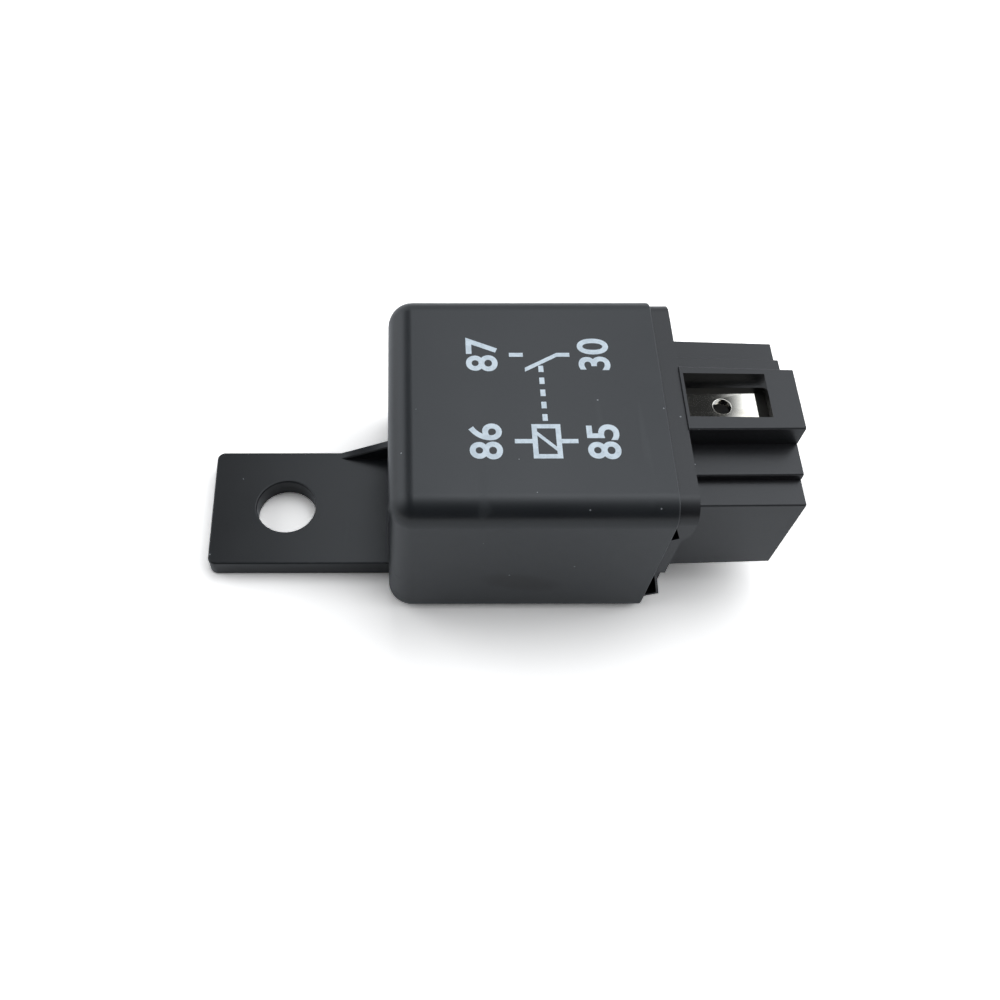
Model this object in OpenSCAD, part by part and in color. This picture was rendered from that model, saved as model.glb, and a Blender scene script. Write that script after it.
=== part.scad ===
// Four-blade automotive relay: a moulded can with a screw tab, and a stepped connector shroud.
// Millimetres. The origin is on the screw hole's axis, in the mounting face. X runs from the
// hole to the connector mouth, Y runs across the can and Z rises from the mounting face.
// The modules draw in the can's own frame: x from its closed end, y from its centre plane.

/* [Can] */
// Length from the closed end to the rim
can_l = 27.3; // [26.5:0.1:30]
// Width across the can
can_w = 27.3; // [26.8:0.1:30]
// Height over the back and the printed face
can_h = 19.6; // [19.2:0.1:22]
// Wall thickness
can_wall = 1.3; // [1:0.05:1.5]
// Radius of the outer edges
can_round = 2.5; // [1.8:0.1:3]
// Radius of the edges round the back
back_round = 1.6; // [1.5:0.1:2.5]

/* [Screw tab] */
// Width of the tab
tab_w = 14.7; // [11:0.1:16]
// Thickness of the tab
tab_t = 2.35; // [1.8:0.05:3]
// Distance from the screw hole to the can
hole_reach = 11.6; // [9:0.1:16]
// Distance from the screw hole to the tab's end
tab_end = 8.3; // [6:0.1:12]
// Diameter of the screw hole
hole_d = 6.6; // [4.5:0.1:7]
// Offset of the screw hole from the can's centre plane
tab_shift = 1.9; // [0:0.1:4]
// Corner radius at the tab's end
tab_round = 0.9; // [0.3:0.1:2]
// Thickness of the gusset rib
gusset_t = 1; // [0.8:0.1:1.6]
// Length of the gusset along the tab
gusset_run = 5.6; // [3:0.1:8]
// Rise of the gusset up the can
gusset_rise = 2.5; // [1.5:0.1:6]

/* [Base] */
// Thickness of the flange outside the rim
flange_t = 1.9; // [1.6:0.1:3]
// Step of the flange inside the can's outline
flange_inset = 0.35; // [0.2:0.05:0.8]
// Depth of the spigot inside the rim
spigot_l = 2.6; // [2.3:0.1:3]
// Gap all round between spigot and can
spigot_gap = 0.05; // [0.03:0.01:0.1]
// Depth of the prying notches and of the flange's relief beside them
notch_depth = 2.2; // [1:0.1:2.4]
// Thickness of the flange's edge between the notches
edge_t = 1.1; // [0.8:0.1:1.6]
// Lip between the lower notch and the relief
notch_lip = 0.25; // [0.2:0.05:0.4]

/* [Connector shroud] */
// Length of the shroud beyond the flange
shroud_l = 11.5; // [10:0.1:14]
// Wall thickness of the shroud
shroud_wall = 1.1; // [0.9:0.05:1.3]
// Height of its underside over the mounting face, at the mouth
shroud_z = 4.3; // [3.5:0.1:4.6]
// Width over the low shelves, at the mouth
shelf_w = 20.3; // [19.5:0.1:22]
// Drop of the low shelves below the printed face
shelf_drop = 3.9; // [3.6:0.1:4.2]
// Width over the shoulders
shoulder_w = 14.4; // [13:0.1:16]
// Drop of the shoulders below the printed face
shoulder_drop = 3; // [2.6:0.1:3.3]
// Width of the latch rib
rib_w = 7.3; // [7:0.1:8]
// Drop of the latch rib below the printed face
rib_drop = 0.4; // [0.3:0.1:0.6]
// Offset of the latch rib from the centre plane
rib_shift = 0.1; // [0:0.05:0.2]
// Offset of the blade under the rib, and of the room round it, from the centre plane
latch_shift = 0.25; // [0:0.05:0.3]
// Wall and roof of the latch rib
rib_wall = 0.8; // [0.6:0.05:0.85]
// Draft of the shroud's faces, in degrees
shroud_draft = 1.2; // [0:0.1:2]
// Land between the latch window and the mouth
window_land = 3; // [2:0.1:5]
// Roof left along the latch window's near side
window_lip = 0.35; // [0:0.05:0.5]
// Roof left between the flange and the latch window
window_gap = 0.3; // [0.2:0.05:1]

/* [Blades] */
// Thickness of every blade
blade_t = 0.8; // [0.6:0.05:0.9]
// Width of the coil blades and of the blade under the rib
blade_w = 4.8; // [4:0.1:5]
// Width of the supply blade
supply_w = 6.3; // [5:0.1:6.6]
// Length of the blades beyond the flange
blade_reach = 9.9; // [8:0.1:10.5]
// Chamfer at a blade's tip
blade_tip = 0.9; // [0.4:0.1:1.2]
// Diameter of a blade's hole
blade_hole = 1.8; // [1.2:0.1:2.2]
// Hole centre from the blade's tip
hole_from_tip = 5.6; // [4:0.1:6]
// Depth of the latch-side blade's face below the top of the rib
latch_blade_drop = 1.5; // [1.3:0.05:1.7]
// Distance of a coil blade from the centre plane
coil_blade_y = 7; // [6.6:0.1:7.4]
// Height of the coil blades' centre line
coil_blade_z = 10.4; // [9.5:0.1:11]
// Width of the tongue that carries a coil wire
tongue_w = 0.9; // [0.8:0.1:1]
// Width of the strip that crosses to the contact post
cross_w = 3.2; // [2.4:0.1:4]
// Margin of the supply terminal's lug round the core's head
lug_margin = 1; // [0.6:0.1:1.2]
// Length of a tongue inside the can
tongue_l = 7.1; // [6:0.1:8]

/* [Magnet] */
// Distance from the can's closed end to the pole face
pole_reach = 6.8; // [6.6:0.1:8]
// Room between the yoke's leg and the can's inner face
leg_room = 1.65; // [1.4:0.05:2]
// Diameter of the core
core_d = 6; // [5:0.1:6.5]
// Diameter of the pole face
pole_d = 9; // [7.5:0.1:9.5]
// Thickness of the pole face
pole_t = 1.2; // [0.8:0.1:1.4]
// Diameter of the core's riveted neck
neck_d = 3; // [2.6:0.1:3.2]
// Thickness of the bobbin's flanges
bobbin_t = 1.1; // [0.8:0.1:1.3]
// Wall of the bobbin's tube
bobbin_wall = 0.75; // [0.5:0.05:1]
// Height of the bobbin's flanges over the winding
bobbin_edge = 0.25; // [0.2:0.05:0.3]
// Thickness of the tape over the winding
tape_t = 0.12; // [0.08:0.01:0.15]
// Diameter of the coil's end wires
wire_d = 0.3; // [0.2:0.05:0.4]
// Lane for the end wires between the winding and the bobbin's wide flange
wire_lane = 0.7; // [0.5:0.05:0.9]
// Thickness of the yoke
yoke_t = 1.5; // [1.2:0.1:1.6]
// Width of the yoke's leg
leg_w = 11; // [9:0.1:12]
// Gap between the yoke's foot and the tongues
foot_gap = 0.5; // [0.4:0.05:0.8]
// Reach of the yoke's foot past the pole face's edge
foot_reach = 1.5; // [0.8:0.1:1.6]
// Gap between the bobbin and the yoke's leg
leg_gap = 0.6; // [0.4:0.1:0.8]

/* [Armature and contacts] */
// Thickness of the armature
armature_t = 1.5; // [1.2:0.1:1.8]
// Width of the armature
armature_w = 10; // [8:0.1:11]
// Tilt of the armature at rest, in degrees
rest_tilt = 3.6; // [3.2:0.1:4]
// Tilt of the armature when the contacts meet, in degrees
closed_tilt = 0.75; // [0.6:0.05:0.9]
// Thickness of the leaf spring
leaf_t = 0.3; // [0.2:0.05:0.35]
// Width of the leaf spring
leaf_w = 7; // [6:0.1:8]
// Diameter of the contact buttons
contact_d = 3.2; // [2.8:0.1:3.6]
// Height of the moving contact's button
contact_h = 1.3; // [1.1:0.1:1.4]
// Height of the fixed contact's button
fixed_h = 0.8; // [0.6:0.1:1]
// Room between the back stop and the can's inner face
stop_room = 0.75; // [0.5:0.05:1]
// Gap between the back stop and the contact post
stop_gap = 0.9; // [0.7:0.05:1.1]
// Diameter of the rivets' shanks
shank_d = 1.5; // [1.2:0.1:1.7]
// Height of the rivets' heads
rivet_h = 0.5; // [0.4:0.05:0.55]
// Margin of the rivets' heads round their shanks
rivet_edge = 0.5; // [0.3:0.05:0.6]
// Distance from the pole face's plane to the first rivet in the yoke
rivet_reach = 6.2; // [5:0.1:8]
// Spacing of the two rivets in the yoke
rivet_pitch = 4.5; // [3:0.1:6]
// Spacing of the two rivets in the armature
armature_pitch = 4.2; // [3:0.1:5]
// Distance of the armature's rivets from the coil's axis
armature_rivet = 2.8; // [2:0.1:4]
// Chamfer of the armature's heel
heel = 1.3; // [1:0.1:1.4]
// Width of the contact post
post_w = 5; // [4:0.1:6]
// Margin of the leaf and the post round the contacts
contact_edge = 0.2; // [0.1:0.05:0.3]
// Thickness of the back stop
stop_t = 0.6; // [0.5:0.05:0.7]
// Diameter of the flexible braid
braid_d = 1.5; // [1.2:0.1:1.6]

/* [Resistor] */
// Diameter of the resistor's body
resistor_d = 1.8; // [1.5:0.1:1.9]
// Length of the resistor's body
resistor_l = 3.6; // [3:0.1:6]
// Diameter of the resistor's leads
lead_d = 0.55; // [0.4:0.05:0.6]
// Gap over and under the resistor's body
resistor_gap = 0.3; // [0.2:0.05:0.35]
// Distance of the resistor from the tongues' ends
resistor_inset = 0.9; // [0.8:0.1:1.2]
// Radius of the solder joints
solder_r = 0.65; // [0.55:0.05:0.7]

/* [Hidden] */
$fn = 48;

eps = 0.01;
over = 1;           // how far a cutter passes the faces that it cuts
touch = 0.02;       // gap left where two moving faces would just meet
root_l = 2;         // length of a coil blade's wide root in the floor
fit_gap = 0.05;     // gap round a part that slides into another

floor_in = can_l - spigot_l;      // inner face of the base's floor
floor_out = can_l + flange_t;     // outer face of the flange
mouth = floor_out + shroud_l;     // end face of the shroud
blade_end = floor_out + blade_reach;
draft_rise = shroud_l * tan(shroud_draft);
upper_notch = [14.3, 2.6, 0.85];        // lower end, height and width
lower_notch = [2.6, 5.1, 1.25];

rib_top = can_h - rib_drop;
shelf_top = can_h - shelf_drop;
shoulder_top = can_h - shoulder_drop;
latch_blade_z = rib_top - latch_blade_drop - blade_t;

// The coil lies along x, under the resistor and beside the yoke's leg.
axis_z = can_h / 2;
winding_r = axis_z - can_wall - 2 * resistor_gap - resistor_d - tape_t;
bobbin_half = winding_r + bobbin_edge;
leg_y = can_wall + leg_room - can_w / 2;            // outer face of the leg
axis_y = leg_y + yoke_t + leg_gap + bobbin_half;
pole_x = pole_reach;              // pole face, level with the end of the yoke's leg
bobbin_x = pole_x + pole_t;
foot_x = floor_in - yoke_t;       // the yoke's foot stands on the base's floor
tube_r = core_d / 2 + fit_gap + bobbin_wall;
tongue_z = axis_z + bobbin_half - bobbin_edge - tongue_w;
tongue_x = floor_in - tongue_l;
foot_w = 2 * (tongue_z - foot_gap - axis_z);
ear_y = coil_blade_y + blade_t;                     // outer end of the bobbin's wide flange

core_head_d = neck_d + 1;
lug_r = core_head_d / 2 + lug_margin;
supply_blade_z = axis_z - core_head_d / 2 - 0.1 - blade_t;    // clear below the core's head

stop_y = can_w / 2 - can_wall - stop_room - stop_t;
post_y = stop_y - stop_gap - blade_t;               // inner face of the post
rivet_head_d = shank_d + 2 * rivet_edge;
contact_y = post_y - rivet_head_d / 2 - 0.1;
pivot = [pole_x, leg_y];          // the armature rocks on the leg's outer corner
contact_arm = contact_y - leg_y;
leaf_tip = contact_y + contact_d / 2 + contact_edge;
armature_tip = contact_y - contact_d;
yoke_rivet_x = [pole_x + rivet_reach, pole_x + rivet_reach + rivet_pitch];
leaf_end = yoke_rivet_x[1] + shank_d + rivet_edge;

// Face of the fixed contact, where the closed moving contact just meets it.
fixed_face = pole_x - (armature_t - contact_h) * cos(closed_tilt)
           - (contact_arm - contact_d / 2) * sin(closed_tilt) + touch;
post_x = fixed_face + fixed_h;    // contact tab of the post
cross_x = floor_in - cross_w;

// Face of the back stop, where the open contact's rivet just rests on it.
stop_face = pole_x - (armature_t + leaf_t + rivet_h) * cos(rest_tilt)
          - (contact_arm + rivet_head_d / 2) * sin(rest_tilt) - touch;
stop_w = rivet_head_d + rivet_edge;

braid_y = axis_y + bobbin_half + 0.2;
braid_z = axis_z - bobbin_half - 0.3 - braid_d / 2;
braid_bend = 1.75 * braid_d;
weld_x = tilted(pole_x - armature_t - leaf_t, braid_y + braid_d / 2)[0] - braid_d / 2 - touch;
weld_z = axis_z - stop_w / 2 + 0.6;                 // upper end of the braid's weld

resistor_x = tongue_x + resistor_inset;
resistor_z = axis_z + winding_r + tape_t + resistor_gap + resistor_d / 2;
winding_end = foot_x - bobbin_t - wire_lane;
wire_x = winding_end + wire_lane / 2;
wire_z = tongue_z + tongue_w / 2;
wire_reach = 1;     // where a wire leaves the winding, off the coil's axis

// A point of the closed armature, turned about the pivot to the rest position.
function tilted(x, y) = [
    pivot[0] + (x - pivot[0]) * cos(rest_tilt) - (y - pivot[1]) * sin(rest_tilt),
    pivot[1] + (x - pivot[0]) * sin(rest_tilt) + (y - pivot[1]) * cos(rest_tilt)];

// ---- placing and drawing helpers ----

module seat() translate([hole_reach, tab_shift, 0]) children();

module at_rest() translate([pivot[0], pivot[1], 0]) rotate([0, 0, rest_tilt])
    translate([-pivot[0], -pivot[1], 0]) children();

module along_x(x) translate([x, 0, 0]) rotate([90, 0, 90]) children();

module along_y(y) translate([0, y, 0]) rotate([90, 0, 0]) children();

module rod_x(x0, x1, y, z, d) along_x(x0) translate([y, z, 0]) cylinder(h = x1 - x0, d = d);

module rod_y(y0, y1, x, z, d) along_y(y1) translate([x, z, 0]) cylinder(h = y1 - y0, d = d);

module block(x, y, z) translate([x[0], y[0], z[0]]) cube([x[1] - x[0], y[1] - y[0], z[1] - z[0]]);

// A rectangle that stands on y = 0, with upper corners of radius r and lower ones of radius rb.
module section(w, h, r, rb) {
    translate([-w / 2, rb]) square([w, h - r - rb]);
    translate([r - w / 2, rb]) square([w - 2 * r, h - rb]);
    translate([rb - w / 2, 0]) square([w - 2 * rb, h - r]);
    for (side = [-1, 1]) {
        translate([side * (w / 2 - r), h - r]) circle(r);
        translate([side * (w / 2 - rb), rb]) circle(rb);
    }
}

// The can's section with every wall moved inwards.
module can_section(inset) translate([0, inset])
    section(can_w - 2 * inset, can_h - 2 * inset, can_round - inset, back_round - inset);

// The can's outline with every wall moved inwards, from its closed end to l.
module can_form(inset, l) intersection() {
    along_x(0) linear_extrude(l) can_section(inset);
    along_y(can_w / 2) linear_extrude(can_w) translate([l, inset])
        section(2 * (l - inset), can_h - 2 * inset, can_round - inset, back_round - inset);
    linear_extrude(can_h) translate([l, inset - can_w / 2])
        section(2 * (l - inset), can_w - 2 * inset, can_round - inset, can_round - inset);
}

// ---- can ----

module tab() {
    linear_extrude(tab_t) translate([-hole_reach, -tab_shift]) difference() {
        translate([-tab_end, -tab_w / 2]) square([tab_end + hole_reach + can_round, tab_w]);
        for (side = [-1, 1]) translate([-tab_end + tab_round, side * (tab_w / 2 - tab_round)])
            difference() {
                translate([-tab_round - eps, side > 0 ? 0 : -tab_round - eps])
                    square(tab_round + eps);
                circle(tab_round);
            }
    }
    along_y(tab_w / 2 - tab_shift) linear_extrude(gusset_t)
        polygon([[-gusset_run, tab_t - eps], [can_wall, tab_t - eps],
                 [can_wall, tab_t + gusset_rise], [0, tab_t + gusset_rise]]);
}

module cover() color([0.17, 0.18, 0.19]) seat() difference() {
    union() {
        can_form(0, can_l);
        tab();
    }
    can_form(can_wall, can_l + over);
    translate([-hole_reach, -tab_shift, -over]) cylinder(h = tab_t + 2 * over, d = hole_d);
}

// ---- base ----

// One storey of the shroud, narrower and lower towards the mouth.
module storey(w, top, shift = 0) intersection() {
    translate([0, shift]) linear_extrude(can_h)
        polygon([[floor_out - eps, -w / 2 - draft_rise], [mouth, -w / 2],
                 [mouth, w / 2], [floor_out - eps, w / 2 + draft_rise]]);
    along_y(can_w / 2) linear_extrude(can_w)
        polygon([[floor_out - eps, shroud_z - draft_rise], [mouth, shroud_z],
                 [mouth, top], [floor_out - eps, top + draft_rise]]);
}

module storey_hollow(w, top, wall, shift = 0)
    block([floor_out, mouth + over], [shift + wall - w / 2, shift + w / 2 - wall],
          [shroud_z + shroud_wall, top - wall]);

// The sides of the flange's near edge, cut from outside: x from the rim, z from the back.
module edge_cut() along_y(flange_inset + notch_depth - can_w / 2) linear_extrude(notch_depth + over)
    translate([can_l, 0]) {
        notch_outline(upper_notch, 0);
        notch_outline(lower_notch, 0);
        difference() {
            polygon([[0, -over], [flange_t + over, -over], [flange_t + over, upper_notch[0] + 1],
                     [flange_t, upper_notch[0] + 1], [edge_t, upper_notch[0]],
                     [edge_t, lower_notch[0] + lower_notch[1]], [0, lower_notch[0] + lower_notch[1]]]);
            notch_outline(lower_notch, notch_lip);
        }
    }

// A notch along the rim that widens towards its lower end, grown outwards by a lip.
module notch_outline(n, lip)
    polygon([[0, n[0] - lip], [0, n[0] + n[1]], [lip, n[0] + n[1]],
             [n[2] + lip, n[0] + n[2] / 2], [n[2] + lip, n[0] + n[2] / 2 - lip]]);

module base() color([0.15, 0.16, 0.17]) seat() difference() {
    union() {
        along_x(floor_in) linear_extrude(spigot_l + eps) can_section(can_wall + spigot_gap);
        along_x(can_l) linear_extrude(flange_t) can_section(flange_inset);
        storey(shelf_w, shelf_top);
        storey(shoulder_w, shoulder_top);
        storey(rib_w, rib_top, rib_shift);
    }
    storey_hollow(shelf_w, shelf_top, shroud_wall);
    storey_hollow(shoulder_w, shoulder_top, shroud_wall);
    storey_hollow(rib_w, rib_top, rib_wall, latch_shift);
    block([floor_out + window_gap, mouth - window_land],
          [latch_shift + rib_wall + window_lip - rib_w / 2, latch_shift + rib_w / 2 - rib_wall],
          [shoulder_top, can_h + over]);
    edge_cut();
    blade_87();
    blade_30();
    coil_blade(1);
    coil_blade(-1);
    core_form();
    stop_form();
}

// ---- terminals ----

// Outline of a blade of width w, from x0 to its chamfered tip.
module blade_outline(x0, w) difference() {
    polygon([[x0, -w / 2], [blade_end - blade_tip, -w / 2], [blade_end, blade_tip - w / 2],
             [blade_end, w / 2 - blade_tip], [blade_end - blade_tip, w / 2], [x0, w / 2]]);
    translate([blade_end - hole_from_tip, 0]) circle(d = blade_hole);
}

module blade_87() translate([0, latch_shift, latch_blade_z]) linear_extrude(blade_t)
    blade_outline(floor_in - eps, blade_w);

module blade_30() {
    translate([0, 0, supply_blade_z]) linear_extrude(blade_t) blade_outline(floor_in, supply_w);
    difference() {
        union() {
            block([floor_in, floor_in + blade_t], [axis_y - lug_r, supply_w / 2],
                  [supply_blade_z, axis_z + lug_r]);
            block([floor_in, floor_in + blade_t], [supply_w / 2 - 0.5, braid_y + 0.7 * braid_d],
                  [braid_z - 0.3 * braid_d, supply_blade_z + blade_t]);
        }
        rod_x(floor_in - over, floor_in + blade_t + over, axis_y, axis_z, neck_d);
    }
}

module coil_blade(side) along_y(side * coil_blade_y + blade_t / 2) linear_extrude(blade_t) {
    translate([0, coil_blade_z]) blade_outline(floor_in + 0.3, blade_w);
    translate([floor_in + 0.3, coil_blade_z - blade_w / 2])
        square([root_l, tongue_z + tongue_w - coil_blade_z + blade_w / 2]);
    translate([tongue_x, tongue_z]) square([tongue_l + root_l, tongue_w]);
}

module terminal_87() color([0.8, 0.78, 0.72]) seat() difference() {
    union() {
        blade_87();
        block([cross_x, floor_in], [latch_shift - blade_w / 2, post_y + blade_t],
              [latch_blade_z, latch_blade_z + blade_t]);
        block([cross_x, floor_in], [post_y, post_y + blade_t],
              [axis_z - post_w / 2, latch_blade_z + blade_t]);
        block([post_x, floor_in], [post_y, post_y + blade_t],
              [axis_z - post_w / 2, axis_z + post_w / 2]);
        block([post_x, post_x + blade_t], [contact_y - contact_d / 2 - contact_edge, post_y + blade_t],
              [axis_z - post_w / 2, axis_z + post_w / 2]);
    }
    rod_x(post_x - over, post_x + blade_t + over, contact_y, axis_z, shank_d);
}

module terminal_30() color([0.8, 0.78, 0.72]) seat() blade_30();

module terminal_85() color([0.8, 0.78, 0.72]) seat() coil_blade(1);

module terminal_86() color([0.8, 0.78, 0.72]) seat() coil_blade(-1);

// ---- coil ----

module bobbin() color([0.86, 0.84, 0.78]) seat() difference() {
    union() {
        rod_x(bobbin_x, foot_x, axis_y, axis_z, 2 * tube_r);
        block([bobbin_x, bobbin_x + bobbin_t], [axis_y - bobbin_half, axis_y + bobbin_half],
              [axis_z - bobbin_half, axis_z + bobbin_half]);
        block([foot_x - bobbin_t, foot_x], [axis_y - bobbin_half, ear_y],
              [axis_z - bobbin_half, axis_z + bobbin_half]);
    }
    rod_x(bobbin_x - over, foot_x + over, axis_y, axis_z, core_d + 2 * fit_gap);
    for (side = [-1, 1])
        block([foot_x - bobbin_t - over, foot_x + over],
              [side * coil_blade_y - blade_t / 2 - fit_gap, side * coil_blade_y + blade_t / 2 + fit_gap],
              [tongue_z - fit_gap, tongue_z + tongue_w + fit_gap]);
}

module sleeve(x0, x1, inner, outer) difference() {
    rod_x(x0, x1, axis_y, axis_z, 2 * outer);
    rod_x(x0 - over, x1 + over, axis_y, axis_z, 2 * inner);
}

module coil_winding() color([0.72, 0.36, 0.16]) seat()
    sleeve(bobbin_x + bobbin_t, winding_end, tube_r, winding_r);

module coil_tape() color([0.85, 0.7, 0.2]) seat()
    sleeve(bobbin_x + bobbin_t, winding_end, winding_r, winding_r + tape_t);

// A wire from the end of the winding, along its lane, to the inner face of a tongue.
module coil_wire(side) {
    start = axis_y + side * wire_reach;
    face = side * (coil_blade_y - blade_t / 2);
    rod_x(winding_end, wire_x, start, wire_z, wire_d);
    translate([wire_x, start, wire_z]) sphere(d = wire_d);
    rod_y(min(start, face), max(start, face), wire_x, wire_z, wire_d);
}

module coil_wire_85() color([0.75, 0.38, 0.18]) seat() coil_wire(1);

module coil_wire_86() color([0.75, 0.38, 0.18]) seat() coil_wire(-1);

// ---- iron ----

module core_form() {
    rod_x(pole_x, bobbin_x, axis_y, axis_z, pole_d);
    rod_x(bobbin_x - eps, foot_x, axis_y, axis_z, core_d);
    rod_x(foot_x - eps, floor_in + blade_t + eps, axis_y, axis_z, neck_d);
    rod_x(floor_in + blade_t, floor_in + blade_t + rivet_h, axis_y, axis_z,
          core_head_d);
}

module core() color([0.62, 0.64, 0.66]) seat() core_form();

module yoke() color([0.6, 0.62, 0.64]) seat() difference() {
    union() {
        block([pole_x, floor_in], [leg_y, leg_y + yoke_t], [axis_z - leg_w / 2, axis_z + leg_w / 2]);
        block([foot_x, floor_in], [leg_y, axis_y + pole_d / 2 + foot_reach],
              [axis_z - foot_w / 2, axis_z + foot_w / 2]);
    }
    rod_x(foot_x - over, floor_in + over, axis_y, axis_z, neck_d);
    yoke_shanks(over);
}

module armature() color([0.63, 0.65, 0.67]) seat() difference() {
    at_rest() translate([0, 0, axis_z - armature_w / 2]) linear_extrude(armature_w)
        polygon([[pole_x, leg_y + fit_gap], [pole_x, armature_tip],
                 [pole_x - armature_t, armature_tip], [pole_x - armature_t, leg_y + heel],
                 [pole_x - 0.2, leg_y + fit_gap]]);
    armature_shanks(over);
}

// ---- spring and contacts: a shank drawn longer at both ends cuts its own hole ----

module armature_shanks(more) at_rest() for (side = [-1, 1])
    rod_x(pole_x - armature_t - leaf_t - more, pole_x + more, axis_y - armature_rivet,
          axis_z + side * armature_pitch / 2, shank_d);

module yoke_shanks(more) for (x = yoke_rivet_x)
    rod_y(leg_y - leaf_t - more, leg_y + yoke_t + more, x, axis_z, shank_d);

module contact_shank(more) at_rest()
    rod_x(pole_x - armature_t - leaf_t - more, pole_x - armature_t + more, contact_y, axis_z,
          shank_d);

// One leaf: flat on the yoke's leg, bent round the heel, flat on the armature and out to the tip.
module contact_spring() color([0.78, 0.55, 0.3]) seat() difference() {
    translate([0, 0, axis_z - leaf_w / 2]) linear_extrude(leaf_w)
        polygon([[leaf_end, leg_y], [pole_x - 0.7, leg_y],
                 tilted(pole_x - armature_t, leg_y + heel - 0.2),
                 tilted(pole_x - armature_t, leaf_tip),
                 tilted(pole_x - armature_t - leaf_t, leaf_tip),
                 tilted(pole_x - armature_t - leaf_t, leg_y + heel - 0.3),
                 [pole_x - 0.8, leg_y - leaf_t], [leaf_end, leg_y - leaf_t]]);
    armature_shanks(over);
    yoke_shanks(over);
    contact_shank(over);
}

module moving_contact() color([0.85, 0.84, 0.8]) seat() {
    contact_shank(0);
    at_rest() {
        rod_x(pole_x - armature_t, pole_x - armature_t + contact_h, contact_y, axis_z, contact_d);
        rod_x(pole_x - armature_t - leaf_t - rivet_h, pole_x - armature_t - leaf_t, contact_y,
              axis_z, rivet_head_d);
    }
}

module fixed_contact() color([0.85, 0.84, 0.8]) seat() {
    rod_x(fixed_face, post_x, contact_y, axis_z, contact_d);
    rod_x(post_x - eps, post_x + blade_t + eps, contact_y, axis_z, shank_d);
    rod_x(post_x + blade_t, post_x + blade_t + rivet_h, contact_y, axis_z, rivet_head_d);
}

module stop_form() {
    block([stop_face - stop_t, floor_in + root_l], [stop_y, stop_y + stop_t],
          [axis_z - stop_w / 2, axis_z + stop_w / 2]);
    block([stop_face - stop_t, stop_face], [contact_y - stop_w / 2, stop_y + stop_t],
          [axis_z - stop_w / 2, axis_z + stop_w / 2]);
}

module back_stop() color([0.7, 0.72, 0.74]) seat() stop_form();

module yoke_rivets() color([0.75, 0.74, 0.7]) seat() {
    yoke_shanks(0);
    for (x = yoke_rivet_x)
        rod_y(leg_y - leaf_t - rivet_h, leg_y - leaf_t, x, axis_z, rivet_head_d);
}

module armature_rivets() color([0.75, 0.74, 0.7]) seat() {
    armature_shanks(0);
    at_rest() for (side = [-1, 1])
        rod_x(pole_x - armature_t - leaf_t - rivet_h, pole_x - armature_t - leaf_t,
              axis_y - armature_rivet, axis_z + side * armature_pitch / 2, rivet_head_d);
}

// Flexible copper braid from the supply terminal, under the coil and up to the leaf.
module braid() color([0.8, 0.45, 0.25]) seat() {
    rod_x(weld_x + braid_bend, floor_in, braid_y, braid_z, braid_d);
    translate([weld_x + braid_bend, braid_y, braid_z + braid_bend]) rotate([90, 0, 0])
        rotate([0, 0, 180]) rotate_extrude(angle = 90) translate([braid_bend, 0]) circle(d = braid_d);
    translate([weld_x, braid_y, braid_z + braid_bend])
        cylinder(h = weld_z - braid_z - braid_bend, d = braid_d);
}

// ---- resistor ----

module resistor() color([0.25, 0.45, 0.65]) seat()
    rod_y(-resistor_l / 2, resistor_l / 2, resistor_x, resistor_z, resistor_d);

module resistor_lead(side, more) {
    rod_y(side > 0 ? resistor_l / 2 : -coil_blade_y, side > 0 ? coil_blade_y : -resistor_l / 2,
          resistor_x, resistor_z, lead_d);
    translate([resistor_x, side * coil_blade_y, resistor_z]) sphere(d = lead_d);
    translate([resistor_x, side * coil_blade_y, tongue_z + tongue_w - more])
        cylinder(h = resistor_z - tongue_z - tongue_w + more, d = lead_d);
}

module resistor_leads() color([0.8, 0.8, 0.8]) seat() {
    resistor_lead(1, 0);
    resistor_lead(-1, 0);
}

module solder_joints() color([0.7, 0.71, 0.72]) seat() for (side = [-1, 1]) difference() {
    translate([resistor_x, side * coil_blade_y, tongue_z + tongue_w]) sphere(r = solder_r);
    resistor_lead(side, tongue_w / 2);
    coil_blade(side);
}

cover();
base();
terminal_87();
terminal_30();
terminal_85();
terminal_86();
bobbin();
coil_winding();
coil_tape();
core();
yoke();
armature();
contact_spring();
moving_contact();
fixed_contact();
back_stop();
yoke_rivets();
armature_rivets();
braid();
resistor();
resistor_leads();
coil_wire_85();
coil_wire_86();
solder_joints();
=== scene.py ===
# Four-blade automotive relay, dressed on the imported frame.
# Lengths in the dictionaries are millimetres, and mm turns them into Blender's metres.
import math

import bmesh
import bpy
from mathutils import Matrix, Vector


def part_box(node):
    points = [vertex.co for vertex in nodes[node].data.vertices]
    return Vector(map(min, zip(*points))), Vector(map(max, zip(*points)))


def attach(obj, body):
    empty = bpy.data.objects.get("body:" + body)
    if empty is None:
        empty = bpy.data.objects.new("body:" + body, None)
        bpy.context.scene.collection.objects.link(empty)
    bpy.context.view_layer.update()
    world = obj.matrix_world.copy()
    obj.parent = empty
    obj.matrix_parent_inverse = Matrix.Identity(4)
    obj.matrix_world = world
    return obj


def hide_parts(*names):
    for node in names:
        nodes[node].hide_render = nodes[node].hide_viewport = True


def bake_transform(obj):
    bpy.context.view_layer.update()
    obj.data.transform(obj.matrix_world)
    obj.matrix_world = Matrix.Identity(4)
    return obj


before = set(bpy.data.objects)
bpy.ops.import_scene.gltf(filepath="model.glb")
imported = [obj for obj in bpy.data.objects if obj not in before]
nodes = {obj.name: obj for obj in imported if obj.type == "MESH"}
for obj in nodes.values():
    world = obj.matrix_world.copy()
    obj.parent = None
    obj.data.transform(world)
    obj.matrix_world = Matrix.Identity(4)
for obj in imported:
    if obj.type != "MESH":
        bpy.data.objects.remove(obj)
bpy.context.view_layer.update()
mm = 0.001
print("frame loaded:", len(nodes), "nodes")


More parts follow.
